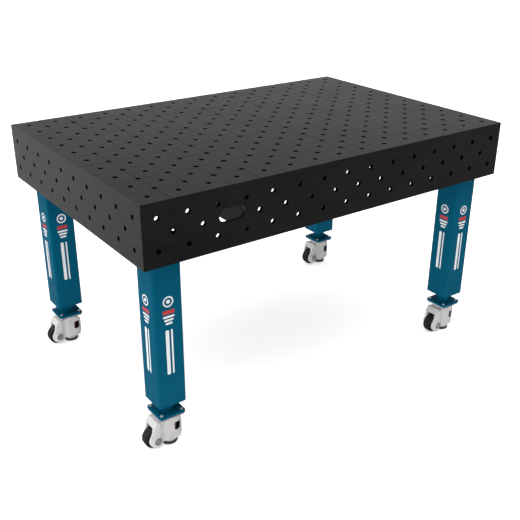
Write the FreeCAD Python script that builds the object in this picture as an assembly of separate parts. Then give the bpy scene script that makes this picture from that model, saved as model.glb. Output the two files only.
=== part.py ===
import FreeCAD, Part
import os
from math import cos, pi, radians, sin

# Welding table: a ribbed steel box with a grid of fixture holes, on four square legs that each
# stand on a levelling caster. Millimetres. The origin is on the floor under the table's middle,
# +X runs along the long side, -Y is the front and +Z is up.

# Table box
LENGTH = 1500.0
WIDTH = 1000.0
HEIGHT = 883.0
SKIRT = 200.0
PLATE = 12.0
BOX_EDGE = 1.0
RIB = 10.0
RIB_DEPTH = 178.0
CROSS_RIBS = {"left": -375.0, "middle": -75.0, "right": 375.0}
LONG_RIB_Y = 175.0

# Fixture holes and the scribed lines between them
PITCH = 100.0
HOLE_R = 8.0
HOLE_CHAMFER = 0.45
TOP_HOLES = (15, 10)
WALL_ROWS = (50.0, 100.0, 150.0)
GROOVE_WIDTH = 1.2
GROOVE_DEPTH = 0.4
SLOT_X = -450.0
SLOT_DEPTH = 92.0
SLOT_SIZE = (92.0, 44.0)

# Legs
LEG_INSET = 96.0
LEG_SIZE = 100.0
LEG_CORNER = 9.0
LEG_WALL = 4.0
LEG_BOTTOM = 169.0
CAP = 4.0
NECK_R = 24.15
NECK_WALL = 3.2
CORNER_TOP = 715.0
CORNER_REACH = 184.0
CORNER_BEVEL = 60.0
FLANGE_GAP = 2.0
LEG_BOLT_R = 6.0
LEG_BOLT_HEAD = (9.5, 7.0)
LEG_BOLT_SPOTS = ((-67.0, -67.0), (80.0, -67.0), (-67.0, 80.0), (60.0, 60.0))

# Foot plate and the caster's own plate
FOOT_PLATE = 95.0
FOOT_PLATE_TOP = 130.0
FOOT_PLATE_CORNER = 9.0
CASTER_PLATE = 92.0
CASTER_PLATE_TOP = 122.0
CASTER_PLATE_BOTTOM = 117.0
FOOT_BOLT_SPOT = 36.5
FOOT_BOLT_R = 3.0
FOOT_BOLT_HEAD = (5.9, 4.2)
FOOT_NUT = 4.0
FOOT_BOLT_END = 111.5

# Caster, measured from its swivel axis: the wheel is on the -X side
HOUSING_BOTTOM = 22.0
HOUSING_SHOULDER = 104.0
HOUSING_TOP = 113.0
HOUSING_HALF = 31.5
HOUSING_END_X = 18.0
HOUSING_OUTLINE = (
    (-50.0, HOUSING_SHOULDER),
    (-62.5, 88.5),
    (-64.0, 82.0),
    (-66.5, 66.0),
    (-74.5, 50.0),
    (-78.2, 41.0),
    (-60.5, 20.0),
    (-35.5, 20.0),
    (-30.0, HOUSING_BOTTOM),
    (34.5, HOUSING_BOTTOM),
    (44.5, 31.0),
    (49.5, 44.0),
    (49.5, 70.0),
    (44.5, 87.0),
    (32.5, HOUSING_SHOULDER),
)
NOSE_X = -80.5
NOSE_CURVE = (-69.5, 27.0)
CHEEK_X = (-50.0, -40.0)
VALLEY = (-27.0, 25.5)
DRUM = (-13.0, 30.5)
TURRET_R = 33.0
KINGPIN_R = 8.0
KINGPIN_HEAD_R = 12.0
KINGPIN_HEAD = (95.0, 102.0)
RACE_R = (20.0, 31.0)
FIT = 0.06
AIR = 0.3

WHEEL_X = -52.5
WHEEL_Z = 37.0
WHEEL_R = 36.0
WHEEL_HALF = 17.0
WHEEL_EDGE = 5.0
WHEEL_DISH_DEPTH = 2.0
WHEEL_DISH_R = 27.0
WHEEL_HUB_R = 11.0
WELL_R = 40.0
WELL_HALF = 19.0
WELL_TOP = 85.0
LOBE_R = 26.0
BOSS_R = 15.0
BOSS_PROUD = 3.0
AXLE_R = 5.0
AXLE_HEAD = (8.0, 4.0)

# Levelling foot under the swivel, raised and lowered by a nut with a knurled rim
FOOT_X = 4.0
STEM_R = 7.0
STEM_TOP = 90.0
DISC_R = 27.0
DISC_TOP = 18.5
DISC_EDGE = 1.5
PAD_R = 28.5
PAD_TOP = 12.0
PAD_EDGE = 2.0
DISC_FLAT = -17.5
PAD_FLAT = -21.0
NUT_RIM_R = 28.0
NUT_RIM = (61.0, 80.0)
NUT_HUB_R = 20.0
NUT_HUB_BOTTOM = 51.0
NUT_HUB_TOP = 53.0
NUT_NOTCHES = 20
NOTCH_R = 2.6
CAVITY = (50.0, 81.0)
CAVITY_R = 29.3
CAVITY_END_X = 13.5
CAVITY_END_R = 28.5
WINDOW_X = (12.5, 36.5)
WINDOW_Z = (52.5, 84.5)
WINDOW_CORNER = 5.0

HEX_TURNED = 0.09
OVER = 1.0
GROUPED = (
    "leg_bolts", "leg_end_caps", "leg_necks", "foot_bolts", "foot_nuts", "swivel_pins", "swivel_races",
)
SIDES = {"front_left": (-1, -1), "front_right": (1, -1), "rear_left": (-1, 1), "rear_right": (1, 1)}
X, Y, Z = FreeCAD.Vector(1, 0, 0), FreeCAD.Vector(0, 1, 0), FreeCAD.Vector(0, 0, 1)


def at(x, y, z):
    return FreeCAD.Vector(x, y, z)


def moved(shape, x, y, z=0.0):
    copy = shape.copy()
    copy.translate(at(x, y, z))
    return copy


def block(x, y, z):
    """A box from three (low, high) pairs."""
    return Part.makeBox(x[1] - x[0], y[1] - y[0], z[1] - z[0], at(x[0], y[0], z[0]))


def post(radius, z, x=0.0, y=0.0):
    """A round bar along Z between the two heights in z."""
    return Part.makeCylinder(radius, z[1] - z[0], at(x, y, z[0]))


def cross_bar(radius, y, x, z):
    """A round bar along Y between the two places in y."""
    return Part.makeCylinder(radius, y[1] - y[0], at(x, y[0], z), Y)


def prism(points, along):
    """A closed outline of points pushed along a vector."""
    return Part.Face(Part.makePolygon(points + points[:1])).extrude(along)


def edges_along(shape, way):
    """The edges of a shape that run along a direction."""
    return [e for e in shape.Edges if abs(e.tangentAt(e.FirstParameter).dot(way)) > 0.99]


def rims(shape, way):
    """The round edges of a shape that lie square to a direction."""
    flat = [e for e in shape.Edges if e.Closed and len(e.Vertexes) == 1]
    return [e for e in flat if e.Curve.TypeId == "Part::GeomCircle" and abs(e.Curve.Axis.dot(way)) > 0.99]


def square_bar(size, corner, z):
    """A square bar or plate about the Z axis with rounded upright corners."""
    half = size / 2
    bar = block((-half, half), (-half, half), z)
    return bar.makeFillet(corner, edges_along(bar, Z))


def hexagon(radius, z, x=0.0, y=0.0):
    """A six-sided head or nut along Z, its corners on the given radius and turned off at both ends."""
    corners = [(x + radius * cos(k * pi / 3), y + radius * sin(k * pi / 3)) for k in range(6)]
    bar = prism([at(cx, cy, z[0]) for cx, cy in corners], at(0, 0, z[1] - z[0]))
    turned = post(radius, z, x, y)
    return bar.common(turned.makeChamfer(radius * HEX_TURNED, rims(turned, Z)))


def spread(count):
    """Places of a row of holes at the fixture pitch, centred on zero."""
    return [(k - (count - 1) / 2) * PITCH for k in range(count)]


# ---- Table box ------------------------------------------------------------------------------


def hole_cutter():
    """What is drilled and countersunk out of a plate that lies between 0 and PLATE along Z."""
    wide = HOLE_R + HOLE_CHAMFER + OVER
    outline = [
        at(0, 0, -OVER),
        at(wide, 0, -OVER),
        at(HOLE_R, 0, HOLE_CHAMFER),
        at(HOLE_R, 0, PLATE - HOLE_CHAMFER),
        at(wide, 0, PLATE + OVER),
        at(0, 0, PLATE + OVER),
    ]
    face = Part.Face(Part.makePolygon(outline + outline[:1]))
    return face.revolve(at(0, 0, 0), Z, 360)


def outer_box():
    """The whole box as one solid with softened outer edges, which each plate is cut from."""
    box = block((-LENGTH / 2, LENGTH / 2), (-WIDTH / 2, WIDTH / 2), (HEIGHT - SKIRT, HEIGHT))
    return box.makeFillet(BOX_EDGE, box.Edges)


def top_plate():
    plate = block((-LENGTH / 2, LENGTH / 2), (-WIDTH / 2, WIDTH / 2), (HEIGHT - PLATE, HEIGHT))
    plate = plate.common(outer_box())
    along, across = TOP_HOLES
    groove = (HEIGHT - GROOVE_DEPTH, HEIGHT + OVER)
    half = GROOVE_WIDTH / 2
    reach_x, reach_y = LENGTH / 2 + OVER, WIDTH / 2 + OVER
    lines_y = [block((x - half, x + half), (-reach_y, reach_y), groove) for x in spread(along - 1)]
    lines_x = [block((-reach_x, reach_x), (y - half, y + half), groove) for y in spread(across - 1)]
    spots = [(x, y) for x in spread(along) for y in spread(across)]
    spots += [(x, y) for x in spread(along - 1) for y in spread(across - 1)]
    cutter = hole_cutter()
    holes = [moved(cutter, x, y, HEIGHT - PLATE) for x, y in spots]
    for tools in (lines_y, lines_x, holes):
        plate = plate.cut(Part.makeCompound(tools))
    return plate


def wall_spots(count, left_out=()):
    """Hole places of a wall as (place along it, depth below the top). The middle row is offset."""
    spots = []
    for depth in WALL_ROWS:
        middle = depth == WALL_ROWS[1]
        row = spread(count - 1 if middle else count)
        spots += [(s, depth) for s in row if not (middle and s in left_out)]
    return spots


def long_wall(side, left_out=()):
    """The front wall (side -1) or the rear wall (side 1)."""
    outer = side * WIDTH / 2
    low = min(outer, outer - side * PLATE)
    wall = block((-LENGTH / 2, LENGTH / 2), (low, low + PLATE), (HEIGHT - SKIRT, HEIGHT - PLATE))
    cutter = hole_cutter()
    cutter.rotate(at(0, 0, 0), X, -90)
    holes = [moved(cutter, s, low, HEIGHT - d) for s, d in wall_spots(TOP_HOLES[0], left_out)]
    return wall.common(outer_box()).cut(Part.makeCompound(holes))


def short_wall(side):
    """The left wall (side -1) or the right wall (side 1), between the two long walls."""
    outer = side * LENGTH / 2
    low = min(outer, outer - side * PLATE)
    inner = WIDTH / 2 - PLATE
    wall = block((low, low + PLATE), (-inner, inner), (HEIGHT - SKIRT, HEIGHT - PLATE))
    cutter = hole_cutter()
    cutter.rotate(at(0, 0, 0), Y, 90)
    holes = [moved(cutter, low, s, HEIGHT - d) for s, d in wall_spots(TOP_HOLES[1])]
    return wall.common(outer_box()).cut(Part.makeCompound(holes))


def hand_slot():
    """A long round-ended slot through the front wall, used as a hand hold."""
    width, tall = SLOT_SIZE
    radius = tall / 2
    y = (-WIDTH / 2 - OVER, -WIDTH / 2 + PLATE + OVER)
    z = HEIGHT - SLOT_DEPTH
    flat = width / 2 - radius
    slot = block((SLOT_X - flat, SLOT_X + flat), y, (z - radius, z + radius))
    for end in (-flat, flat):
        slot = slot.fuse(cross_bar(radius, y, SLOT_X + end, z))
    return slot


def ribs():
    inner_x, inner_y = LENGTH / 2 - PLATE, WIDTH / 2 - PLATE
    z = (HEIGHT - RIB_DEPTH, HEIGHT - PLATE)
    half = RIB / 2
    stations = [(x - half, x + half) for x in CROSS_RIBS.values()]
    starts = [-inner_x] + [high for _, high in stations]
    ends = [low for low, _ in stations] + [inner_x]
    ribs_y = [(y - half, y + half) for y in (-LONG_RIB_Y, LONG_RIB_Y)]
    sections = [block(x, y, z) for y in ribs_y for x in zip(starts, ends)]
    pieces = {"long_rib_sections": Part.makeCompound(sections)}
    for name, x in zip(CROSS_RIBS, stations):
        pieces["cross_rib_" + name] = block(x, (-inner_y, inner_y), z)
    return pieces


# ---- Legs -----------------------------------------------------------------------------------


def corner_shape(side, gap, z):
    """A square plate in a corner of the box, with its inner corner cut off."""
    out = LEG_INSET - PLATE - gap
    far = CORNER_REACH - (LEG_INSET - PLATE)
    near = far - CORNER_BEVEL
    local = [(-out, -out), (far, -out), (far, near), (near, far), (-out, far)]
    sx, sy = SIDES[side]
    return prism([at(-sx * u, -sy * v, z[0]) for u, v in local], at(0, 0, z[1] - z[0]))


def leg_bolt_places(side):
    sx, sy = SIDES[side]
    return [(-sx * u, -sy * v) for u, v in LEG_BOLT_SPOTS]


def leg_pieces(side):
    """The pieces of one leg about its own axis, from the box corner down to the foot plate."""
    joint = CORNER_TOP - PLATE
    flange_z = (joint - PLATE, joint)
    corner = corner_shape(side, 0.0, (joint, CORNER_TOP))
    flange = corner_shape(side, FLANGE_GAP, flange_z)
    bolts = []
    for x, y in leg_bolt_places(side):
        corner = corner.cut(post(LEG_BOLT_R + FIT, (joint - OVER, CORNER_TOP + OVER), x, y))
        flange = flange.cut(post(LEG_BOLT_R + AIR, (flange_z[0] - OVER, joint + OVER), x, y))
        head = hexagon(LEG_BOLT_HEAD[0], (flange_z[0] - LEG_BOLT_HEAD[1], flange_z[0]), x, y)
        bolts.append(head.fuse(post(LEG_BOLT_R, (flange_z[0], CORNER_TOP + OVER), x, y)))
    tube_z = (LEG_BOTTOM + CAP, flange_z[0])
    tube = square_bar(LEG_SIZE, LEG_CORNER, tube_z)
    tube = tube.cut(square_bar(LEG_SIZE - 2 * LEG_WALL, LEG_CORNER - LEG_WALL, tube_z))
    neck_z = (FOOT_PLATE_TOP, LEG_BOTTOM)
    neck = post(NECK_R, neck_z).cut(post(NECK_R - NECK_WALL, neck_z))
    foot = square_bar(FOOT_PLATE, FOOT_PLATE_CORNER, (CASTER_PLATE_TOP, FOOT_PLATE_TOP))
    return {
        "corner_plate": corner,
        "leg_flange": flange,
        "leg_bolts": Part.makeCompound(bolts),
        "leg_tube": tube,
        "leg_end_caps": square_bar(LEG_SIZE, LEG_CORNER, (LEG_BOTTOM, LEG_BOTTOM + CAP)),
        "leg_necks": neck,
        "foot_plate": drilled(foot),
    }


# ---- Caster mounting ------------------------------------------------------------------------


def foot_bolt_places():
    ends = (-FOOT_BOLT_SPOT, FOOT_BOLT_SPOT)
    return [(x, y) for x in ends for y in ends]


def drilled(plate):
    """A plate with the four holes for the foot bolts."""
    for x, y in foot_bolt_places():
        plate = plate.cut(post(FOOT_BOLT_R + AIR, (FOOT_BOLT_END, FOOT_PLATE_TOP + OVER), x, y))
    return plate


def mounting_pieces():
    """The caster's plate with its swivel pin and race, and the bolts that hold it to the leg."""
    z = (CASTER_PLATE_BOTTOM, CASTER_PLATE_TOP)
    plate = drilled(square_bar(CASTER_PLATE, FOOT_PLATE_CORNER, z)).cut(post(KINGPIN_R, z))
    pin = post(KINGPIN_R, (KINGPIN_HEAD[1], CASTER_PLATE_TOP)).fuse(post(KINGPIN_HEAD_R, KINGPIN_HEAD))
    race_z = (HOUSING_TOP + AIR, CASTER_PLATE_BOTTOM)
    race = post(RACE_R[1], race_z).cut(post(RACE_R[0], race_z))
    bolts, nuts = [], []
    for x, y in foot_bolt_places():
        head_z = (FOOT_PLATE_TOP, FOOT_PLATE_TOP + FOOT_BOLT_HEAD[1])
        head = hexagon(FOOT_BOLT_HEAD[0], head_z, x, y)
        bolts.append(head.fuse(post(FOOT_BOLT_R, (FOOT_BOLT_END, FOOT_PLATE_TOP), x, y)))
        nut_z = (CASTER_PLATE_BOTTOM - FOOT_NUT, CASTER_PLATE_BOTTOM)
        nuts.append(hexagon(FOOT_BOLT_HEAD[0], nut_z, x, y).cut(post(FOOT_BOLT_R + FIT, nut_z, x, y)))
    return {
        "caster_plate": plate,
        "swivel_pins": pin,
        "swivel_races": race,
        "foot_bolts": Part.makeCompound(bolts),
        "foot_nuts": Part.makeCompound(nuts),
    }


# ---- Caster ---------------------------------------------------------------------------------


def housing_side_view():
    """The housing seen along Y: sloping bridge over the wheel, swollen end over the foot."""
    half = HOUSING_HALF
    side = prism([at(x, -half, z) for x, z in HOUSING_OUTLINE], at(0, 2 * half, 0))
    return side.fuse(cross_bar(LOBE_R, (-half, half), WHEEL_X, WHEEL_Z))


def plan_side(sign):
    """One side of the housing's plan, from its nose over the cheek and the hollow to the drum."""
    half = HOUSING_HALF

    def spot(x, y):
        return at(x, sign * y, 0)

    return [
        Part.Arc(spot(NOSE_X, WELL_HALF), spot(*NOSE_CURVE), spot(CHEEK_X[0], half)),
        Part.LineSegment(spot(CHEEK_X[0], half), spot(CHEEK_X[1], half)),
        Part.Arc(spot(CHEEK_X[1], half), spot(*VALLEY), spot(*DRUM)),
        Part.LineSegment(spot(*DRUM), spot(HOUSING_END_X, half)),
    ]


def housing_plan():
    """The housing seen from above: tapered towards the wheel, round over the foot."""
    end, half = HOUSING_END_X, HOUSING_HALF
    curves = [
        Part.LineSegment(at(NOSE_X, -WELL_HALF, 0), at(NOSE_X, WELL_HALF, 0)),
        *plan_side(1),
        Part.Arc(at(end, half, 0), at(end + half, 0, 0), at(end, -half, 0)),
        *reversed(plan_side(-1)),
    ]
    wire = Part.Wire([curve.toShape() for curve in curves])
    return Part.Face(wire).extrude(at(0, 0, HOUSING_TOP))


def nut_cavity():
    """The room round the adjusting nut, drawn out towards the round end as far as the wall allows."""
    near, far = post(CAVITY_R, CAVITY, FOOT_X), post(CAVITY_END_R, CAVITY, CAVITY_END_X)
    half = CAVITY_END_R
    return near.fuse(far).fuse(block((FOOT_X, CAVITY_END_X), (-half, half), CAVITY))


def housing_windows():
    """The round-cornered finger windows in both sides, beside the adjusting nut."""
    window = block(WINDOW_X, (-HOUSING_HALF - OVER, HOUSING_HALF + OVER), WINDOW_Z)
    return window.makeFillet(WINDOW_CORNER, edges_along(window, Y))


def housing():
    body = housing_side_view().common(housing_plan())
    body = body.fuse(post(TURRET_R, (HOUSING_SHOULDER - OVER, HOUSING_TOP)))
    face = HOUSING_HALF + BOSS_PROUD
    body = body.fuse(cross_bar(BOSS_R, (-face, face), WHEEL_X, WHEEL_Z))
    side = (-WELL_HALF, WELL_HALF)
    nose = WHEEL_X - 2 * LOBE_R
    well = cross_bar(WELL_R, side, WHEEL_X, WHEEL_Z).fuse(block((nose, WHEEL_X), side, (0, WELL_TOP)))
    head_room = KINGPIN_HEAD[0] - OVER
    cuts = [
        well,
        nut_cavity(),
        housing_windows(),
        post(STEM_R + FIT, (0, CAVITY[0] + OVER), FOOT_X),
        post(STEM_R + OVER, (CAVITY[1] - OVER, head_room + OVER), FOOT_X),
        post(KINGPIN_HEAD_R + OVER, (head_room, KINGPIN_HEAD[1] + AIR)),
        post(KINGPIN_R + FIT, (KINGPIN_HEAD[0], HOUSING_TOP + OVER)),
        cross_bar(AXLE_R, (-face - OVER, face + OVER), WHEEL_X, WHEEL_Z),
    ]
    for cutter in cuts:
        body = body.cut(cutter)
    return body.removeSplitter()


def wheel():
    """Solid nylon wheel with rounded tread edges and a shallow dish in both faces."""
    tyre = cross_bar(WHEEL_R, (-WHEEL_HALF, WHEEL_HALF), WHEEL_X, WHEEL_Z)
    tyre = tyre.makeFillet(WHEEL_EDGE, rims(tyre, Y))
    floor = WHEEL_HALF - WHEEL_DISH_DEPTH
    for face in ((-WHEEL_HALF, -floor), (floor, WHEEL_HALF)):
        ring = cross_bar(WHEEL_DISH_R, face, WHEEL_X, WHEEL_Z)
        tyre = tyre.cut(ring.cut(cross_bar(WHEEL_HUB_R, face, WHEEL_X, WHEEL_Z)))
    return tyre.cut(cross_bar(AXLE_R + FIT, (-WHEEL_HALF, WHEEL_HALF), WHEEL_X, WHEEL_Z))


def axle():
    """The wheel's bolt: a plain shank with a flat round head at one end and a nut at the other."""
    face = HOUSING_HALF + BOSS_PROUD
    head_r, head = AXLE_HEAD
    bolt = cross_bar(AXLE_R, (-face, face), WHEEL_X, WHEEL_Z)
    bolt = bolt.fuse(cross_bar(head_r, (-face - head, -face), WHEEL_X, WHEEL_Z))
    nut = hexagon(head_r, (0, head))
    nut.rotate(at(0, 0, 0), X, -90)
    return bolt.fuse(moved(nut, WHEEL_X, face, WHEEL_Z))


def adjusting_nut():
    """A hub that turns on the stem's thread, flaring to a notched rim that a finger turns."""
    outline = [
        at(FOOT_X, 0, NUT_HUB_BOTTOM),
        at(FOOT_X + NUT_HUB_R, 0, NUT_HUB_BOTTOM),
        at(FOOT_X + NUT_HUB_R, 0, NUT_HUB_TOP),
        at(FOOT_X + NUT_RIM_R, 0, NUT_RIM[0]),
        at(FOOT_X + NUT_RIM_R, 0, NUT_RIM[1]),
        at(FOOT_X, 0, NUT_RIM[1]),
    ]
    nut = Part.Face(Part.makePolygon(outline + outline[:1])).revolve(at(FOOT_X, 0, 0), Z, 360)
    notches = []
    for k in range(NUT_NOTCHES):
        turn = radians(360.0 * k / NUT_NOTCHES)
        x, y = FOOT_X + NUT_RIM_R * cos(turn), NUT_RIM_R * sin(turn)
        notches.append(post(NOTCH_R, (NUT_HUB_TOP, NUT_RIM[1] + OVER), x, y))
    nut = nut.cut(Part.makeCompound(notches))
    return nut.cut(post(STEM_R + FIT, (NUT_HUB_BOTTOM, NUT_RIM[1]), FOOT_X))


def foot_disc(radius, z, edge, flat):
    """A round disc with soft rims, cut flat on the side where the wheel turns."""
    disc = post(radius, z, FOOT_X)
    disc = disc.makeFillet(edge, rims(disc, Z))
    return disc.cut(block((FOOT_X - 2 * radius, flat), (-radius, radius), z))


def stem():
    """The levelling foot's screw with the disc that its rubber is bonded to."""
    disc = foot_disc(DISC_R, (PAD_TOP, DISC_TOP), DISC_EDGE, DISC_FLAT)
    return disc.fuse(post(STEM_R, (DISC_TOP, STEM_TOP), FOOT_X))


def pad():
    """The rubber pad that stands on the floor."""
    return foot_disc(PAD_R, (0, PAD_TOP), PAD_EDGE, PAD_FLAT)


# ---- Assembly -------------------------------------------------------------------------------


def build():
    nodes = {
        "top_plate": top_plate(),
        "front_wall": long_wall(-1, left_out=(SLOT_X,)).cut(hand_slot()),
        "rear_wall": long_wall(1),
        "left_wall": short_wall(-1),
        "right_wall": short_wall(1),
    }
    nodes.update(ribs())
    caster = {
        "caster_housing": housing(),
        "wheel": wheel(),
        "wheel_axle": axle(),
        "adjusting_nut": adjusting_nut(),
        "levelling_stem": stem(),
        "rubber_pad": pad(),
    }
    mounting = mounting_pieces()
    grouped = {}
    for side, (sx, sy) in SIDES.items():
        x, y = sx * (LENGTH / 2 - LEG_INSET), sy * (WIDTH / 2 - LEG_INSET)
        for name, shape in {**leg_pieces(side), **mounting, **caster}.items():
            placed = moved(shape, x, y)
            if name in GROUPED:
                grouped.setdefault(name, []).extend(placed.Solids)
            else:
                nodes[f"{name}_{side}"] = placed
    for name, solids in grouped.items():
        nodes[name] = Part.makeCompound(solids)
    return nodes


os.makedirs("parts", exist_ok=True)
for name, shape in build().items():
    shape.exportStep(os.path.join("parts", name + ".step"))
    print(name, len(shape.Solids), "valid" if shape.isValid() else "NOT VALID")
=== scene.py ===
import math

import bmesh
import bpy
from mathutils import Matrix, Vector


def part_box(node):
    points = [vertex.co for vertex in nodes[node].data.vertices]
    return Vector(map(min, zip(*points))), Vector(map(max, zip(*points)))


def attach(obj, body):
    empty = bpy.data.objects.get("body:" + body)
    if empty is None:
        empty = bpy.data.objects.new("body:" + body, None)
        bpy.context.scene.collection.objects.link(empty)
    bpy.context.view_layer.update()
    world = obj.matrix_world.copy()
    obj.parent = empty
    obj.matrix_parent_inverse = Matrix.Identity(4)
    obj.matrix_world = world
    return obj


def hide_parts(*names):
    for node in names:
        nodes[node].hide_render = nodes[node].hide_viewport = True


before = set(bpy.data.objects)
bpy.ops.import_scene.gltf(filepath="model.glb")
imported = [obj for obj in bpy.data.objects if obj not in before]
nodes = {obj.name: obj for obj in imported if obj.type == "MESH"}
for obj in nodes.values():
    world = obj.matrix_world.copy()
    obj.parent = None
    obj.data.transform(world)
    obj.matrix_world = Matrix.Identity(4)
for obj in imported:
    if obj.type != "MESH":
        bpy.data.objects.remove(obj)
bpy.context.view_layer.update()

MM = 0.001
SIDES = ("front_left", "front_right", "rear_left", "rear_right")
CROSS_RIBS = ("cross_rib_left", "cross_rib_middle", "cross_rib_right")
BOX_PLATES = ("top_plate", "front_wall", "rear_wall", "left_wall", "right_wall")

# The table's box, and the hand slot in its front wall
TOP_LOW, TOP_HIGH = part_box("top_plate")
TOP = TOP_HIGH.z
PLATE = TOP - TOP_LOW.z
SKIRT_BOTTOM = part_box("front_wall")[0].z
SLOT_CENTRE = Vector((-450 * MM, TOP_LOW.y, TOP - 92 * MM))
SLOT_REACH = 55 * MM
SAME_POINT = 0.002 * MM
SKIN = 0.03 * MM
EDGE_BAND = 1.3 * MM

# Weld beads
BEAD = 2.6 * MM
STITCH = 45 * MM
FINE_STEP = 0.9 * MM
COARSE_STEP = 1.8 * MM
LEG_CORNER = 9 * MM

# Marks on the legs: heights above the floor, then (across, height, width, tall, corner) of each bar
FILM = 0.12 * MM
RING_HEIGHT = 541 * MM
RING_OUTER, RING_INNER, RING_DOT = 18 * MM, 13.5 * MM, 6.5 * MM
RED_BAR = (0.0, 506 * MM, 40 * MM, 13 * MM, 3 * MM)
TICKS = (
    (0.0, 490.0 * MM, 40 * MM, 6.6 * MM, 3 * MM),
    (0.0, 478.5 * MM, 32 * MM, 6.6 * MM, 3 * MM),
    (0.0, 467.0 * MM, 24 * MM, 6.6 * MM, 3 * MM),
)
STRIPES = (
    (-8 * MM, 366 * MM, 12 * MM, 158 * MM, 5 * MM),
    (8 * MM, 366 * MM, 5.5 * MM, 158 * MM, 2.6 * MM),
)

# Casters
AXLE_BORE = 5.06 * MM
HUB = 11 * MM
TYRE_DEPTH = 9 * MM
SPOKES = 8
SPOKE_THICK = 2.4 * MM
AXLE_HEAD = 4 * MM
DISC_OVER_PAD = 6.5 * MM
THREAD_CREST = 6.95 * MM
THREAD_DEPTH = 0.9 * MM
THREAD_PITCH = 2.2 * MM
# The room round the adjusting nut, whose faces take the near-black painted shade.
ROOM_R, ROOM_END_R, ROOM_END_X = 29.7 * MM, 28.9 * MM, 9.5 * MM
ROOM_HEIGHT = (49.3 * MM, 85.4 * MM)
ROOM_HALF = 29.6 * MM


# ---------------------------------------------------------------- camera, light and floor

def make_camera():
    """A 54 mm lens at eye height, to the left of the table's front, looking down at it."""
    camera = bpy.data.objects.new("camera", bpy.data.cameras.new("camera"))
    camera.data.lens = 53.70
    camera.data.sensor_width = 36.0
    camera.data.clip_end = 200.0
    forward = Vector((0.52936, 0.73541, -0.42304)).normalized()
    right = Vector((0.81289, -0.58240, 0.00474))
    right = (right - forward * right.dot(forward)).normalized()
    up = right.cross(forward)
    turn = Matrix((right, up, -forward)).transposed().to_4x4()
    camera.matrix_world = Matrix.Translation((-1.6257, -2.2725, 1.6341)) @ turn
    bpy.context.scene.collection.objects.link(camera)
    bpy.context.scene.camera = camera


def node(tree, kind, inputs=None, **props):
    """One shader node, its sockets set or linked by name or number."""
    made = tree.nodes.new(kind)
    for key, value in props.items():
        setattr(made, key, value)
    for key, value in (inputs or {}).items():
        if isinstance(value, bpy.types.NodeSocket):
            tree.links.new(value, made.inputs[key])
        else:
            made.inputs[key].default_value = value
    return made


def calc(tree, operation, a, b=0.0):
    return node(tree, "ShaderNodeMath", {0: a, 1: b}, operation=operation).outputs[0]


def remap(tree, value, low, high, to_low=0.0, to_high=1.0, smooth=False):
    made = node(tree, "ShaderNodeMapRange", {
        "Value": value, "From Min": low, "From Max": high, "To Min": to_low, "To Max": to_high,
    })
    made.interpolation_type = "SMOOTHSTEP" if smooth else "LINEAR"
    return made.outputs[0]


def blend(tree, factor, a, b):
    """A colour between a and b."""
    made = node(tree, "ShaderNodeMix", data_type="RGBA")
    for index, value in ((0, factor), (6, a), (7, b)):
        if isinstance(value, bpy.types.NodeSocket):
            tree.links.new(value, made.inputs[index])
        elif index:
            made.inputs[index].default_value = (*value, 1.0)
        else:
            made.inputs[index].default_value = value
    return made.outputs[2]


def facing(tree, way, direction):
    """How far a way of looking points along a direction."""
    made = node(tree, "ShaderNodeVectorMath", {0: way, 1: direction}, operation="DOT_PRODUCT")
    return made.outputs["Value"]


def make_world():
    """A soft studio: broad light from the left, above and behind, with a faint one from the right."""
    scene = bpy.context.scene
    scene.view_settings.view_transform = "Standard"
    world = bpy.data.worlds.new("studio")
    scene.world = world
    world.use_nodes = True
    tree = world.node_tree
    tree.nodes.clear()
    way = node(tree, "ShaderNodeTexCoord").outputs["Generated"]
    z = node(tree, "ShaderNodeSeparateXYZ", {0: way}).outputs[2]
    glow = remap(tree, facing(tree, way, (-0.85, 0.05, 0.52)), 0.0, 0.95, 0.0, 1.27, smooth=True)
    dome = remap(tree, z, 0.50, 0.98, 0.0, 1.40, smooth=True)
    rest = remap(tree, z, -0.10, 0.15, 0.025, 0.10, smooth=True)
    wall = remap(tree, facing(tree, way, (0.50, 0.86, 0.10)), 0.10, 0.95, 0.0, 0.70, smooth=True)
    wall = calc(tree, "MULTIPLY", wall, remap(tree, z, 0.40, 0.08, 0.0, 1.0, smooth=True))
    side = remap(tree, facing(tree, way, (0.97, -0.15, -0.20)), 0.62, 0.95, 0.0, 0.17, smooth=True)
    amount = glow
    for light in (dome, rest, wall, side):
        amount = calc(tree, "ADD", amount, light)
    seen = node(tree, "ShaderNodeLightPath").outputs["Is Camera Ray"]
    level = node(tree, "ShaderNodeMix", {0: seen, 2: amount, 3: 1.0}, data_type="FLOAT").outputs[0]
    back = node(tree, "ShaderNodeBackground", {"Color": (1.0, 1.0, 1.0, 1.0), "Strength": level})
    tree.links.new(back.outputs[0], node(tree, "ShaderNodeOutputWorld").inputs["Surface"])


def make_floor():
    """A wide pale floor that glows a little, so that it meets the white background without a line."""
    bpy.ops.mesh.primitive_grid_add(x_subdivisions=8, y_subdivisions=8, size=120.0)
    floor = bpy.context.object
    floor.name = "floor"
    floor.location.z = -0.0002
    floor.visible_glossy = False
    mat, tree, bsdf = material("floor_pale")
    spot = object_point(tree)
    cloud = noise(tree, spot, 0.8, detail=3.0)
    tree.links.new(blend(tree, cloud, (0.90, 0.90, 0.90), (0.93, 0.93, 0.93)), bsdf.inputs["Base Color"])
    bsdf.inputs["Roughness"].default_value = 0.9
    bsdf.inputs["Specular IOR Level"].default_value = 0.1
    bsdf.inputs["Emission Color"].default_value = (1.0, 1.0, 1.0, 1.0)
    bsdf.inputs["Emission Strength"].default_value = 0.55
    floor.data.materials.append(mat)


# ---------------------------------------------------------------- materials

def material(name):
    mat = bpy.data.materials.new(name)
    mat.use_nodes = True
    return mat, mat.node_tree, mat.node_tree.nodes["Principled BSDF"]


def object_point(tree):
    return node(tree, "ShaderNodeTexCoord").outputs["Object"]


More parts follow.
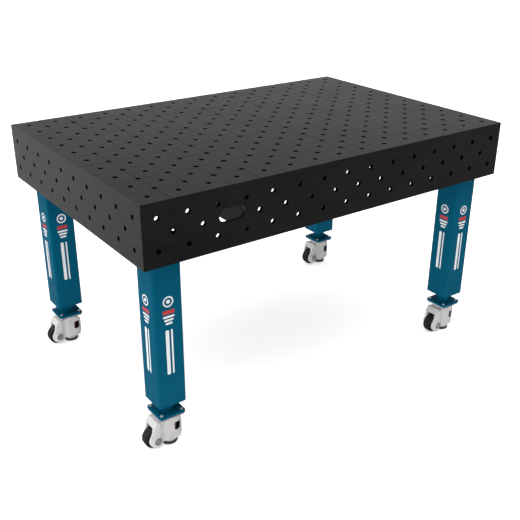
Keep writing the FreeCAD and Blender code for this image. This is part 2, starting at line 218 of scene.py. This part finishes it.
def stretched(tree, vector, scale, turn=0.0):
    """The point turned about Z and then stretched, so that a pattern runs along the turned way."""
    turned = node(tree, "ShaderNodeMapping", {"Vector": vector, "Rotation": (0.0, 0.0, turn)}).outputs[0]
    return node(tree, "ShaderNodeMapping", {"Vector": turned, "Scale": scale}).outputs[0]


def noise(tree, vector, scale, detail=4.0, rough=0.55):
    return node(tree, "ShaderNodeTexNoise", {
        "Vector": vector, "Scale": scale, "Detail": detail, "Roughness": rough,
    }).outputs[0]


def bumps(tree, bsdf, layers):
    """Stacks (height, distance in metres, strength) layers into the shader's normal."""
    normal = None
    for height, distance, strength in layers:
        made = node(tree, "ShaderNodeBump", {"Height": height, "Distance": distance, "Strength": strength})
        if normal is not None:
            tree.links.new(normal, made.inputs["Normal"])
        normal = made.outputs[0]
    tree.links.new(normal, bsdf.inputs["Normal"])


def edge_gap(tree, x, y, z):
    """Metres from the nearest outer edge of the table's box: the middle one of the three face gaps."""
    gap_x = calc(tree, "SUBTRACT", TOP_HIGH.x, calc(tree, "ABSOLUTE", x))
    gap_y = calc(tree, "SUBTRACT", TOP_HIGH.y, calc(tree, "ABSOLUTE", y))
    gap_z = calc(tree, "SUBTRACT", TOP, z)
    low = calc(tree, "MINIMUM", gap_x, gap_y)
    high = calc(tree, "MAXIMUM", gap_x, gap_y)
    return calc(tree, "MAXIMUM", low, calc(tree, "MINIMUM", high, gap_z))


def black_steel():
    """Nitrided plate: a dark skin, clouded by heat, faintly rubbed along its edges, with fine scratches."""
    mat, tree, bsdf = material("black_steel")
    link = tree.links.new
    spot = object_point(tree)
    split = node(tree, "ShaderNodeSeparateXYZ", {0: spot})
    x, y, z = split.outputs
    cloud = noise(tree, spot, 4.0, detail=6.0)
    speck = noise(tree, spot, 260.0, detail=3.0)
    rolled = noise(tree, stretched(tree, spot, (2.0, 55.0, 55.0)), 3.0, detail=5.0)
    skin = blend(tree, remap(tree, cloud, 0.3, 0.7), (0.0056, 0.0057, 0.0060), (0.0086, 0.0085, 0.0084))
    skin = blend(tree, remap(tree, rolled, 0.35, 0.75, 0.0, 0.35), skin, (0.016, 0.0157, 0.0153))
    skin = blend(tree, remap(tree, speck, 0.62, 0.72, 0.0, 0.30), skin, (0.024, 0.0235, 0.023))
    lines = None
    for turn, across in ((0.35, 620.0), (-0.9, 540.0), (1.25, 700.0)):
        streak = noise(tree, stretched(tree, spot, (4.0, across, 4.0), turn), 1.0, detail=1.0)
        patch = noise(tree, stretched(tree, spot, (3.0, 3.0, 3.0), turn * 2), 2.0, detail=2.0)
        thin = calc(tree, "MULTIPLY", remap(tree, streak, 0.73, 0.76), remap(tree, patch, 0.50, 0.62))
        lines = thin if lines is None else calc(tree, "MAXIMUM", lines, thin)
    skin = blend(tree, calc(tree, "MULTIPLY", lines, 0.30), skin, (0.060, 0.059, 0.058))
    gap = edge_gap(tree, x, y, z)
    ragged = calc(tree, "ADD", gap, remap(tree, noise(tree, spot, 90.0), 0.3, 0.7, -0.0006, 0.0010))
    worn = remap(tree, ragged, 0.0002, 0.0012, 0.22, 0.0, smooth=True)
    skin = blend(tree, worn, skin, (0.10, 0.097, 0.094))
    link(skin, bsdf.inputs["Base Color"])
    gloss = remap(tree, cloud, 0.3, 0.7, 0.30, 0.36)
    gloss = calc(tree, "ADD", gloss, remap(tree, rolled, 0.3, 0.7, -0.03, 0.04))
    gloss = calc(tree, "SUBTRACT", gloss, calc(tree, "MULTIPLY", worn, 0.12))
    link(gloss, bsdf.inputs["Roughness"])
    bsdf.inputs["Specular IOR Level"].default_value = 0.38
    link(calc(tree, "MULTIPLY", worn, 0.8), bsdf.inputs["Metallic"])
    bumps(tree, bsdf, [(noise(tree, spot, 900.0, detail=3.0), 0.00008, 0.35),
                       (rolled, 0.00012, 0.15),
                       (lines, 0.00004, -0.3)])
    return mat


def bore_steel_painted_shade():
    """The drilled, countersunk and scored steel: unpolished, with turning marks, coloured near-black as
    painted shade, darker than the plate's own skin.
    """
    mat, tree, bsdf = material("bore_steel_painted_shade")
    spot = object_point(tree)
    cloud = noise(tree, spot, 60.0, detail=4.0)
    turned = noise(tree, stretched(tree, spot, (30.0, 30.0, 1400.0)), 1.0, detail=2.0)
    # Painted shade: the walls of the bores and scored lines are coloured near-black, darker than the plate's
    # skin, to stand for the shade inside them.
    film = blend(tree, cloud, (0.0008, 0.0008, 0.0008), (0.0022, 0.0021, 0.0020))
    film = blend(tree, remap(tree, turned, 0.6, 0.75, 0.0, 0.5), film, (0.0045, 0.0043, 0.0042))
    tree.links.new(film, bsdf.inputs["Base Color"])
    tree.links.new(remap(tree, cloud, 0.3, 0.7, 0.75, 0.90), bsdf.inputs["Roughness"])
    bsdf.inputs["Specular IOR Level"].default_value = 0.02
    bumps(tree, bsdf, [(turned, 0.00006, 0.3)])
    return mat


def powder_coat(name, dark, light):
    """Baked powder paint: even colour with a soft orange peel and a little dust in its gloss."""
    mat, tree, bsdf = material(name)
    spot = object_point(tree)
    cloud = noise(tree, spot, 7.0, detail=4.0)
    fleck = noise(tree, spot, 1500.0, detail=2.0)
    colour = blend(tree, remap(tree, cloud, 0.3, 0.7), dark, light)
    tint = tuple(0.5 * a + 0.7 * b for a, b in zip(dark, light))
    colour = blend(tree, remap(tree, fleck, 0.60, 0.75, 0.0, 0.25), colour, tint)
    tree.links.new(colour, bsdf.inputs["Base Color"])
    tree.links.new(remap(tree, noise(tree, spot, 30.0), 0.3, 0.7, 0.38, 0.50), bsdf.inputs["Roughness"])
    bsdf.inputs["Specular IOR Level"].default_value = 0.022
    bumps(tree, bsdf, [(noise(tree, spot, 330.0, detail=2.0), 0.00025, 0.22), (fleck, 0.00004, 0.2)])
    return mat


def zinc_plate():
    """Bright zinc plating, slightly blue, with a fine spangle and rubbed patches."""
    mat, tree, bsdf = material("zinc_plate")
    spot = object_point(tree)
    cells = node(tree, "ShaderNodeTexVoronoi", {"Vector": spot, "Scale": 420.0, "Randomness": 1.0})
    grain = node(tree, "ShaderNodeSeparateColor", {0: cells.outputs["Color"]}).outputs[0]
    cloud = noise(tree, spot, 45.0, detail=5.0)
    colour = blend(tree, grain, (0.74, 0.75, 0.77), (0.86, 0.87, 0.89))
    colour = blend(tree, remap(tree, cloud, 0.5, 0.75, 0.0, 0.5), colour, (0.60, 0.60, 0.61))
    tree.links.new(colour, bsdf.inputs["Base Color"])
    tree.links.new(remap(tree, cloud, 0.3, 0.7, 0.24, 0.42), bsdf.inputs["Roughness"])
    bsdf.inputs["Metallic"].default_value = 0.75
    bumps(tree, bsdf, [(noise(tree, spot, 700.0, detail=3.0), 0.00005, 0.25)])
    return mat


def moulded(name, dark, light, rough, grain, depth, metal=0.0, shine=0.5):
    """A moulded surface: two close tones, a matt sheen that varies, and a fine grain."""
    mat, tree, bsdf = material(name)
    spot = object_point(tree)
    cloud = noise(tree, spot, 28.0, detail=5.0)
    fine = noise(tree, spot, grain, detail=3.0)
    colour = blend(tree, remap(tree, cloud, 0.3, 0.7), dark, light)
    shade = tuple(0.8 * c for c in dark)
    colour = blend(tree, remap(tree, fine, 0.35, 0.2, 0.0, 0.5), colour, shade)
    tree.links.new(colour, bsdf.inputs["Base Color"])
    tree.links.new(remap(tree, cloud, 0.3, 0.7, rough - 0.06, rough + 0.06), bsdf.inputs["Roughness"])
    bsdf.inputs["Metallic"].default_value = metal
    bsdf.inputs["Specular IOR Level"].default_value = shine
    bumps(tree, bsdf, [(fine, depth, 0.4), (cloud, depth * 2, 0.1)])
    return mat


STEEL = black_steel()
BORE_PAINTED_SHADE = bore_steel_painted_shade()
PAINT = powder_coat("blue_powder_coat", (0.0000, 0.073, 0.130), (0.0002, 0.083, 0.148))
ZINC = zinc_plate()
CASTING = moulded("ivory_casting", (0.52, 0.510, 0.505), (0.58, 0.569, 0.563),
                  0.42, 700.0, 0.00010, shine=0.35)
NYLON = moulded("dark_nylon", (0.013, 0.013, 0.014), (0.022, 0.022, 0.023),
                0.48, 900.0, 0.00006, shine=0.30)
RUBBER = moulded("black_rubber", (0.008, 0.008, 0.008), (0.014, 0.0137, 0.0133),
                 0.62, 600.0, 0.00012, shine=0.20)
PAD = moulded("grey_rubber", (0.034, 0.034, 0.034), (0.050, 0.049, 0.048), 0.62, 600.0, 0.00012)
RED = moulded("dark_red_plastic", (0.085, 0.005, 0.007), (0.125, 0.008, 0.010),
              0.40, 800.0, 0.00006, shine=0.30)
SCREW = moulded("dull_screw", (0.42, 0.415, 0.41), (0.54, 0.535, 0.53), 0.36, 900.0, 0.00005, metal=0.6)
# Near-black painted shade for the faces of the room round each caster's adjusting nut.
CAVITY_PAINTED_SHADE = moulded("cavity_painted_shade", (0.009, 0.008, 0.008), (0.016, 0.014, 0.014),
                 0.60, 500.0, 0.00010, shine=0.15)
WASHER = moulded("dull_washer", (0.31, 0.307, 0.304), (0.39, 0.387, 0.383),
                 0.42, 900.0, 0.00005, metal=0.5)
WHITE_MARK = moulded("white_mark", (0.66, 0.68, 0.69), (0.76, 0.78, 0.79), 0.38, 900.0, 0.00004)
RED_MARK = moulded("red_mark", (0.42, 0.020, 0.022), (0.52, 0.030, 0.032), 0.38, 900.0, 0.00004)
SLOT_LOOKS = {
    "table_steel": STEEL, "leg_paint": PAINT, "zinc": ZINC, "caster_casting": CASTING,
    "nylon": NYLON, "rubber": RUBBER, "red_plastic": RED,
}


# ---------------------------------------------------------------- mesh helpers

def new_piece(name, mesh, look, body, smooth_angle=35.0):
    """An object made from a mesh that is already in its place, riding on a body."""
    piece = bpy.data.objects.new(name, mesh)
    bpy.context.scene.collection.objects.link(piece)
    mesh.materials.clear()
    mesh.materials.append(look)
    mesh.shade_smooth()
    mesh.set_sharp_from_angle(angle=math.radians(smooth_angle))
    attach(piece, body)
    return piece


def grid_mesh(name, rings, closed=True):
    """A skin over a list of equal rings of points, which runs back to its start or ends in flat caps."""
    count = len(rings[0])
    points = [p for ring in rings for p in ring]
    faces = []
    for i in range(len(rings) if closed else len(rings) - 1):
        a, b = i * count, ((i + 1) % len(rings)) * count
        for j in range(count):
            k = (j + 1) % count
            faces.append((a + j, a + k, b + k, b + j))
    if not closed:
        faces.append(tuple(reversed(range(count))))
        faces.append(tuple((len(rings) - 1) * count + j for j in range(count)))
    mesh = bpy.data.meshes.new(name)
    mesh.from_pydata([tuple(p) for p in points], [], faces)
    mesh.update()
    bm = bmesh.new()
    bm.from_mesh(mesh)
    bmesh.ops.recalc_face_normals(bm, faces=bm.faces)
    bm.to_mesh(mesh)
    bm.free()
    return mesh


def lathe(name, profile, centre, steps):
    """Turns a closed list of (radius, along) points about a line along Y through centre."""
    rings = []
    for i in range(steps):
        turn = 2 * math.pi * i / steps
        out = Vector((math.cos(turn), 0.0, math.sin(turn)))
        rings.append([centre + out * radius + Vector((0.0, along, 0.0)) for radius, along in profile])
    return grid_mesh(name, rings)


def joined(meshes, name):
    """One mesh out of several."""
    bm = bmesh.new()
    for mesh in meshes:
        bm.from_mesh(mesh)
        bpy.data.meshes.remove(mesh)
    made = bpy.data.meshes.new(name)
    bm.to_mesh(made)
    bm.free()
    return made


def softened(source, width):
    """A CAD node's shape with its sharp edges rounded."""
    bm = bmesh.new()
    bm.from_mesh(nodes[source].data)
    bmesh.ops.remove_doubles(bm, verts=bm.verts, dist=SAME_POINT)
    bmesh.ops.dissolve_limit(bm, angle_limit=math.radians(0.6), verts=bm.verts, edges=bm.edges)
    limit = math.radians(32.0)
    sharp = [e for e in bm.edges if len(e.link_faces) == 2 and e.calc_face_angle(0.0) > limit]
    bmesh.ops.bevel(bm, geom=sharp, offset=width, offset_type="OFFSET", segments=2,
                    profile=0.5, affect="EDGES", clamp_overlap=True)
    mesh = bpy.data.meshes.new(source)
    bm.to_mesh(mesh)
    bm.free()
    return mesh


# ---------------------------------------------------------------- table box

def drilled(spot):
    """Whether a point is in a bore, countersink or scored line of the box, and not on its faces or edges."""
    gaps = sorted((TOP_HIGH.x - abs(spot.x), TOP_HIGH.y - abs(spot.y), TOP - spot.z))
    inside_plate = SKIN < gaps[0] < PLATE - SKIN
    clear_of_edges = gaps[1] >= EDGE_BAND and spot.z >= SKIRT_BOTTOM + EDGE_BAND
    return inside_plate and clear_of_edges and (spot - SLOT_CENTRE).length > SLOT_REACH


def box_plates():
    """The top and walls, with the drilled surfaces in a near-black finish of painted shade."""
    for name in BOX_PLATES:
        bm = bmesh.new()
        bm.from_mesh(nodes[name].data)
        bmesh.ops.remove_doubles(bm, verts=bm.verts, dist=SAME_POINT)
        mesh = bpy.data.meshes.new(name)
        bm.to_mesh(mesh)
        bm.free()
        piece = new_piece("plate_" + name, mesh, STEEL, "table", 30.0)
        # Bores, countersinks and scored lines take the near-black painted shade.
        mesh.materials.append(BORE_PAINTED_SHADE)
        for face in mesh.polygons:
            face.use_smooth = drilled(face.center)
            face.material_index = int(face.use_smooth)
        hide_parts(name)


# ---------------------------------------------------------------- painted and plated plates

def centre_of(name):
    """The middle of a CAD node's box."""
    low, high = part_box(name)
    return (low + high) / 2


def soften_nodes(names, width, slot):
    """Stands a softened copy in for each of the table body's nodes named."""
    for name in names:
        piece = new_piece("soft_" + name, softened(name, width), SLOT_LOOKS[slot], "table")
        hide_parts(name)


def plate_pieces():
    """Plates, tubes and fasteners with their cut edges broken."""
    per_leg = (
        ("corner_plate", 0.8 * MM, "table_steel"),
        ("leg_flange", 0.8 * MM, "leg_paint"),
        ("leg_tube", 0.5 * MM, "leg_paint"),
        ("foot_plate", 0.7 * MM, "leg_paint"),
        ("caster_plate", 0.6 * MM, "zinc"),
    )
    for kind, width, slot in per_leg:
        soften_nodes([f"{kind}_{side}" for side in SIDES], width, slot)
    soften_nodes(["leg_end_caps", "leg_necks"], 0.5 * MM, "leg_paint")
    fasteners = ["foot_bolts", "foot_nuts", "leg_bolts", "swivel_races", "swivel_pins"]
    soften_nodes(fasteners, 0.22 * MM, "zinc")
    soften_nodes([*CROSS_RIBS, "long_rib_sections"], 0.8 * MM, "table_steel")


# ---------------------------------------------------------------- welds

def bead_mesh(path, radius, closed, wobble, step):
    """A rippled weld bead along a path: its thickness rises and falls with each drop of metal."""
    steps = []
    count = len(path) if closed else len(path) - 1
    for i in range(count):
        a, b = path[i], path[(i + 1) % len(path)]
        parts = max(1, round((b - a).length / step))
        steps += [a.lerp(b, k / parts) for k in range(parts)]
    if not closed:
        steps.append(path[-1])
    rings = []
    for i, spot in enumerate(steps):
        before = steps[i - 1] if closed or i else steps[i]
        after = steps[(i + 1) % len(steps)] if closed or i < len(steps) - 1 else steps[i]
        along = (after - before).normalized()
        side = along.cross(Vector((0, 0, 1)) if abs(along.z) < 0.9 else Vector((1, 0, 0))).normalized()
        other = along.cross(side)
        run = i * step / MM
        drop = 1.0 + 0.13 * abs(math.sin(0.61 * run + wobble)) - 0.05 * math.sin(0.145 * run + wobble)
        if not closed:
            drop *= min(1.0, 0.35 + 0.25 * min(i, len(steps) - 1 - i))
        size = radius * drop
        rings.append([spot + (side * math.cos(t) + other * math.sin(t)) * size
                      for t in (2 * math.pi * k / 10 for k in range(10))])
    return grid_mesh("bead", rings, closed)


def round_path(centre, radius, z):
    """A level circle about centre."""
    turns = (2 * math.pi * k / 72 for k in range(72))
    return [Vector((centre.x + radius * math.cos(t), centre.y + radius * math.sin(t), z)) for t in turns]


def square_path(centre, half, corner, z):
    """A level square with round corners about centre."""
    points = []
    for quarter in range(4):
        for k in range(7):
            t = math.pi / 2 * (quarter + k / 6)
            sx = 1 if quarter in (0, 3) else -1
            sy = 1 if quarter in (0, 1) else -1
            points.append(Vector((centre.x + sx * (half - corner) + corner * math.cos(t),
                                  centre.y + sy * (half - corner) + corner * math.sin(t), z)))
    return points


def leg_welds():
    """Beads round each leg's neck, above its foot plate and under its cap, and round its upper end."""
    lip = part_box("leg_necks")[1].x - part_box("leg_tube_front_right")[1].x
    cap_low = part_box("leg_end_caps")[0].z
    for index, side in enumerate(SIDES):
        low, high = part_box("leg_tube_" + side)
        centre, half = (low + high) / 2, (high.x - low.x) / 2
        foot_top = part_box("foot_plate_" + side)[1].z
        neck_r = half + lip + 0.6 * MM
        at_foot = round_path(centre, neck_r, foot_top + 0.6 * MM)
        at_cap = round_path(centre, neck_r, cap_low - 0.6 * MM)
        at_flange = square_path(centre, half + 0.4 * MM, LEG_CORNER, high.z - 0.6 * MM)
        beads = [
            bead_mesh(at_foot, 2.6 * MM, True, index, FINE_STEP),
            bead_mesh(at_cap, 2.3 * MM, True, index + 2, FINE_STEP),
            bead_mesh(at_flange, 3.0 * MM, True, index, FINE_STEP),
        ]
        new_piece("leg_welds_" + side, joined(beads, "leg_welds"), PAINT, "table", 60.0)


def straight_bead(a, b, wobble):
    return bead_mesh([a, b], BEAD, False, wobble, COARSE_STEP)


def stitches(a, b, pitch, wobble):
    """Short beads spread evenly along a straight corner from a to b."""
    span = (b - a).length
    count = max(1, int(span // pitch))
    made = []
    for k in range(count):
        middle = a.lerp(b, (k + 0.5) / count)
        half = (b - a).normalized() * min(STITCH, span * 0.8) / 2
        made.append(straight_bead(middle - half, middle + half, wobble + k))
    return made


def cross_rib_beads(roof):
    """Stitches along both sides of each cross rib, and a bead up each of its four ends' corners."""
    beads = []
    for name in CROSS_RIBS:
        low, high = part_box(name)
        for x in (low.x, high.x):
            beads += stitches(Vector((x, low.y, roof)), Vector((x, high.y, roof)), 150 * MM, x)
            for y in (low.y, high.y):
                beads.append(straight_bead(Vector((x, y, low.z + 4 * MM)), Vector((x, y, roof)), y))
    return beads


def long_rib_beads(roof):
    """The same for the long ribs' sections, which run between the side walls and the cross ribs."""
    beads = []
    crossings = [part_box(name) for name in ("left_wall", *CROSS_RIBS, "right_wall")]
    low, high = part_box("long_rib_sections")
    rib_low, rib_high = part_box(CROSS_RIBS[0])
    thick = rib_high.x - rib_low.x
    for y in (low.y, low.y + thick, high.y - thick, high.y):
        for before, after in zip(crossings[:-1], crossings[1:]):
            start, end = before[1].x, after[0].x
            beads += stitches(Vector((start, y, roof)), Vector((end, y, roof)), 170 * MM, y)
            for x in (start, end):
                beads.append(straight_bead(Vector((x, y, low.z + 4 * MM)), Vector((x, y, roof)), x))
    return beads


def wall_beads(roof):
    """Stitches along the walls' upper inner corners, and a bead up each corner of the box."""
    beads = []
    inner = Vector((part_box("right_wall")[0].x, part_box("rear_wall")[0].y, 0))
    corners = [Vector((sx * inner.x, sy * inner.y, roof)) for sx, sy in ((-1, -1), (1, -1), (1, 1), (-1, 1))]
    for a, b in zip(corners, corners[1:] + corners[:1]):
        beads += stitches(a, b, 160 * MM, a.x)
        beads.append(straight_bead(Vector((a.x, a.y, SKIRT_BOTTOM + 6 * MM)), a, a.y))
    return beads


def box_welds():
    """The welds that hold the ribs and walls to each other and under the top."""
    roof = TOP_LOW.z - 0.5 * MM
    beads = cross_rib_beads(roof) + long_rib_beads(roof) + wall_beads(roof)
    new_piece("box_welds", joined(beads, "box_welds"), STEEL, "table", 60.0)


# ---------------------------------------------------------------- marks on the legs

def flat_mark(to_world, outline, hole=()):
    """A thin film with the given outline, (across, up), laid on a face by to_world, solid or with a hole."""
    bm = bmesh.new()
    low, high = ([bm.verts.new(to_world(u, v, d)) for u, v in outline] for d in (0.0, FILM))
    count = len(outline)
    for k in range(count):
        j = (k + 1) % count
        bm.faces.new((low[k], low[j], high[j], high[k]))
    if hole:
        low_in, high_in = ([bm.verts.new(to_world(u, v, d)) for u, v in hole] for d in (0.0, FILM))
        for k in range(count):
            j = (k + 1) % count
            bm.faces.new((high[k], high[j], high_in[j], high_in[k]))
            bm.faces.new((low[j], low[k], low_in[k], low_in[j]))
            bm.faces.new((low_in[j], low_in[k], high_in[k], high_in[j]))
    else:
        bm.faces.new(high)
        bm.faces.new(list(reversed(low)))
    bmesh.ops.recalc_face_normals(bm, faces=bm.faces)
    mesh = bpy.data.meshes.new("mark")
    bm.to_mesh(mesh)
    bm.free()
    return mesh


def bar_outline(u, v, width, height, corner):
    """A bar with round corners, centred on (u, v)."""
    points = []
    for quarter, (su, sv) in enumerate(((1, 1), (-1, 1), (-1, -1), (1, -1))):
        for k in range(5):
            t = math.pi / 2 * (quarter + k / 4)
            points.append((u + su * (width / 2 - corner) + corner * math.cos(t),
                           v + sv * (height / 2 - corner) + corner * math.sin(t)))
    return points


def ring_outline(radius):
    """A circle at the height of the marks' ring."""
    turns = [2 * math.pi * k / 48 for k in range(48)]
    return [(radius * math.cos(t), RING_HEIGHT + radius * math.sin(t)) for t in turns]


def leg_face(centre, half, quarter):
    """The function that puts (across, height, thickness) on one of the four faces of a leg."""
    turn = Matrix.Rotation(math.pi / 2 * quarter, 3, "Z")

    def to_world(u, v, d):
        spot = turn @ Vector((u, -(half + d), 0.0))
        return (centre.x + spot.x, centre.y + spot.y, v)

    return to_world


def leg_marks():
    """Plain generic marks on every face of each leg: a ring, a red bar, three ticks and two stripes."""
    for side in SIDES:
        low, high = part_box("leg_tube_" + side)
        centre, half = (low + high) / 2, (high.x - low.x) / 2
        white, red = [], []
        for quarter in range(4):
            to_world = leg_face(centre, half, quarter)
            white.append(flat_mark(to_world, ring_outline(RING_OUTER), ring_outline(RING_INNER)))
            white.append(flat_mark(to_world, ring_outline(RING_DOT)))
            white += [flat_mark(to_world, bar_outline(*bar)) for bar in TICKS + STRIPES]
            red.append(flat_mark(to_world, bar_outline(*RED_BAR)))
        new_piece("white_marks_" + side, joined(white, "white_marks"), WHITE_MARK, "table")
        new_piece("red_marks_" + side, joined(red, "red_marks"), RED_MARK, "table")


# ---------------------------------------------------------------- casters

def cast_mesh(source, voxel, rounds, keep):
    """The CAD casting with every edge rounded as its mould leaves it."""
    rough = bpy.data.objects.new("rough_casting", nodes[source].data.copy())
    bpy.context.scene.collection.objects.link(rough)
    remesh = rough.modifiers.new("remesh", "REMESH")
    remesh.mode = "VOXEL"
    remesh.voxel_size = voxel
    smooth = rough.modifiers.new("smooth", "SMOOTH")
    smooth.factor = 0.5
    smooth.iterations = rounds
    fewer = rough.modifiers.new("fewer", "DECIMATE")
    fewer.ratio = keep
    mesh = bpy.data.meshes.new_from_object(rough.evaluated_get(bpy.context.evaluated_depsgraph_get()))
    bpy.data.objects.remove(rough)
    return mesh


def mirrored(half, middle=()):
    """A profile given from one face of a wheel inwards, with its mirror image added."""
    return [*half, *middle, *((radius, -along) for radius, along in reversed(half))]


def tyre_mesh(centre, radius, half):
    """A tyre with round shoulders and a fine parting line round the middle of its tread."""
    inner = radius - TYRE_DEPTH
    face = [
        (inner - 0.5 * MM, 3.5 * MM - half),
        (inner, 1.0 * MM - half),
        (inner + 1.5 * MM, -half),
        (radius - 5.2 * MM, -half),
        (radius - 2.6 * MM, 1.1 * MM - half),
        (radius - 0.9 * MM, 3.4 * MM - half),
        (radius - 0.25 * MM, 6.5 * MM - half),
        (radius, -1.0 * MM),
        (radius, -0.3 * MM),
    ]
    return lathe("tyre", mirrored(face, [(radius - 0.25 * MM, 0.0)]), centre, 120)


def core_mesh(centre, radius, half):
    """A wheel's core: a hub, a thick disc with spokes standing out of both sides, and a rim in the tyre."""
    inner, dish = radius - TYRE_DEPTH, half - 2 * MM
    face = [
        (AXLE_BORE, 0.6 * MM - half),
        (AXLE_BORE + 0.6 * MM, -half),
        (HUB - 1 * MM, -half),
        (HUB, 1 * MM - half),
        (HUB + 0.4 * MM, 2.2 * MM - dish),
        (HUB + 2 * MM, 3.4 * MM - dish),
        (inner - 2 * MM, 3.4 * MM - dish),
        (inner - 0.4 * MM, 1.6 * MM - dish),
        (inner + 0.3 * MM, 0.4 * MM - dish),
    ]
    bm = bmesh.new()
    size = Matrix.Diagonal((inner - HUB, 2 * dish - 1 * MM, SPOKE_THICK, 1))
    for k in range(SPOKES):
        turn = Matrix.Rotation(-2 * math.pi * k / SPOKES, 4, "Y")
        out = Matrix.Translation(((HUB + inner) / 2, 0, 0))
        bmesh.ops.create_cube(bm, size=1.0, matrix=Matrix.Translation(centre) @ turn @ out @ size)
    bmesh.ops.bevel(bm, geom=bm.edges[:], offset=0.5 * MM, segments=2, profile=0.5, affect="EDGES")
    spokes = bpy.data.meshes.new("spokes")
    bm.to_mesh(spokes)
    bm.free()
    return joined([lathe("core", mirrored(face), centre, 96), spokes], "core")


def thread_mesh(axis, low, high):
    """A screw thread about a vertical axis, between two heights."""
    around, rows_per_turn = 32, 7
    root = THREAD_CREST - THREAD_DEPTH
    rows = round((high - low) / THREAD_PITCH * rows_per_turn)
    rings = []
    for i in range(rows + 1):
        z = low + (high - low) * i / rows
        ring = []
        for j in range(around):
            ridge = 1.0 - abs(2.0 * ((z / THREAD_PITCH - j / around) % 1.0) - 1.0)
            radius = root + THREAD_DEPTH * min(1.0, max(0.0, 1.35 * ridge - 0.15))
            t = 2 * math.pi * j / around
            ring.append(Vector((axis.x + radius * math.cos(t), axis.y + radius * math.sin(t), z)))
        rings.append(ring)
    return grid_mesh("thread", rings, closed=False)


def screw_mesh(side, disc_top):
    """The levelling foot's disc from the CAD with a threaded stem in place of its plain one."""
    source = "levelling_stem_" + side
    disc = softened(source, 0.4 * MM)
    bm = bmesh.new()
    bm.from_mesh(disc)
    cut = bmesh.ops.bisect_plane(bm, geom=bm.verts[:] + bm.edges[:] + bm.faces[:], clear_outer=True,
                                 plane_co=(0, 0, disc_top + 0.6 * MM), plane_no=(0, 0, 1))
    ring = [e for e in cut["geom_cut"] if isinstance(e, bmesh.types.BMEdge)]
    bmesh.ops.contextual_create(bm, geom=ring)
    bm.to_mesh(disc)
    bm.free()
    stem_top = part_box(source)[1].z
    axis = centre_of("adjusting_nut_" + side)
    return joined([disc, thread_mesh(axis, disc_top + 0.2 * MM, stem_top)], "screw")


def washer_mesh(source):
    """The flat washers with rolled rims under the head and the nut of a wheel's bolt."""
    low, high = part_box(source)
    seat = (high.y - low.y) / 2 - AXLE_HEAD
    section = ((7.2, -0.4), (7.2, 0.9), (11.2, 0.9), (11.8, 1.7), (12.7, 1.7), (13.3, 1.1), (13.3, -0.4))
    rings = []
    for way in (-1, 1):
        profile = [(radius * MM, way * (seat + rise * MM)) for radius, rise in section]
        rings.append(lathe("washer", profile, centre_of(source), 72))
    return joined(rings, "washers")


def housing_piece(side, casting, shift, axis):
    """A caster's housing, with near-black painted shade on its faces in the room round its adjusting nut."""
    mesh = casting.copy()
    mesh.name = "housing"
    mesh.transform(Matrix.Translation(shift))
    piece = new_piece("housing_" + side, mesh, CASTING, "caster_" + side, 50.0)
    mesh.materials.append(CAVITY_PAINTED_SHADE)
    # Faces in the room round the adjusting nut take the near-black painted shade.
    for face in mesh.polygons:
        c = face.center
        near = math.hypot(c.x - axis.x, c.y - axis.y) < ROOM_R
        far = math.hypot(c.x - axis.x - ROOM_END_X, c.y - axis.y) < ROOM_END_R
        level = ROOM_HEIGHT[0] < c.z < ROOM_HEIGHT[1] and abs(c.y - axis.y) < ROOM_HALF
        face.material_index = int((near or far) and level)
    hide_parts("caster_housing_" + side)


def wheel_pieces(side):
    """A wheel's tyre and core, and the bolt it turns on with its washers."""
    wheel, axle, caster = "wheel_" + side, "wheel_axle_" + side, "caster_" + side
    low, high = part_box(wheel)
    size = (centre_of(wheel), (high.z - low.z) / 2, (high.y - low.y) / 2)
    tyre = new_piece("tyre_" + side, tyre_mesh(*size), RUBBER, wheel, 40.0)
    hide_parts(wheel)
    new_piece("wheel_core_" + side, core_mesh(*size), NYLON, wheel, 32.0)
    bolt = new_piece("axle_bolt_" + side, softened(axle, 0.5 * MM), SCREW, caster)
    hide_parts(axle)
    new_piece("axle_washers_" + side, washer_mesh(axle), WASHER, caster, 40.0)


def foot_pieces(side):
    """The adjusting nut, and the levelling foot that it raises and lowers."""
    nut, pad, stem = "adjusting_nut_" + side, "rubber_pad_" + side, "levelling_stem_" + side
    foot = "foot_" + side
    knob = new_piece("notched_nut_" + side, softened(nut, 0.35 * MM), RED, "adjuster_" + side)
    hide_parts(nut)
    disc_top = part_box(pad)[1].z + DISC_OVER_PAD
    screw = new_piece("foot_screw_" + side, screw_mesh(side, disc_top), ZINC, foot, 50.0)
    screw.data.materials.append(CASTING)
    for face in screw.data.polygons:
        face.material_index = int(face.center.z < disc_top + 0.2 * MM)
    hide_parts(stem)
    sole = new_piece("foot_pad_" + side, softened(pad, 0.6 * MM), PAD, foot)
    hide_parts(pad)


def casters():
    """The four casters: one casting is rounded, and its copies are moved to the others' places."""
    first = SIDES[0]
    casting = cast_mesh("caster_housing_" + first, 0.75 * MM, 5, 0.45)
    for side in SIDES:
        shift = centre_of("caster_housing_" + side) - centre_of("caster_housing_" + first)
        axis = centre_of("adjusting_nut_" + first) + shift
        housing_piece(side, casting, shift, axis)
        wheel_pieces(side)
        foot_pieces(side)


make_camera()
make_world()
make_floor()
box_plates()
plate_pieces()
leg_welds()
box_welds()
leg_marks()
casters()
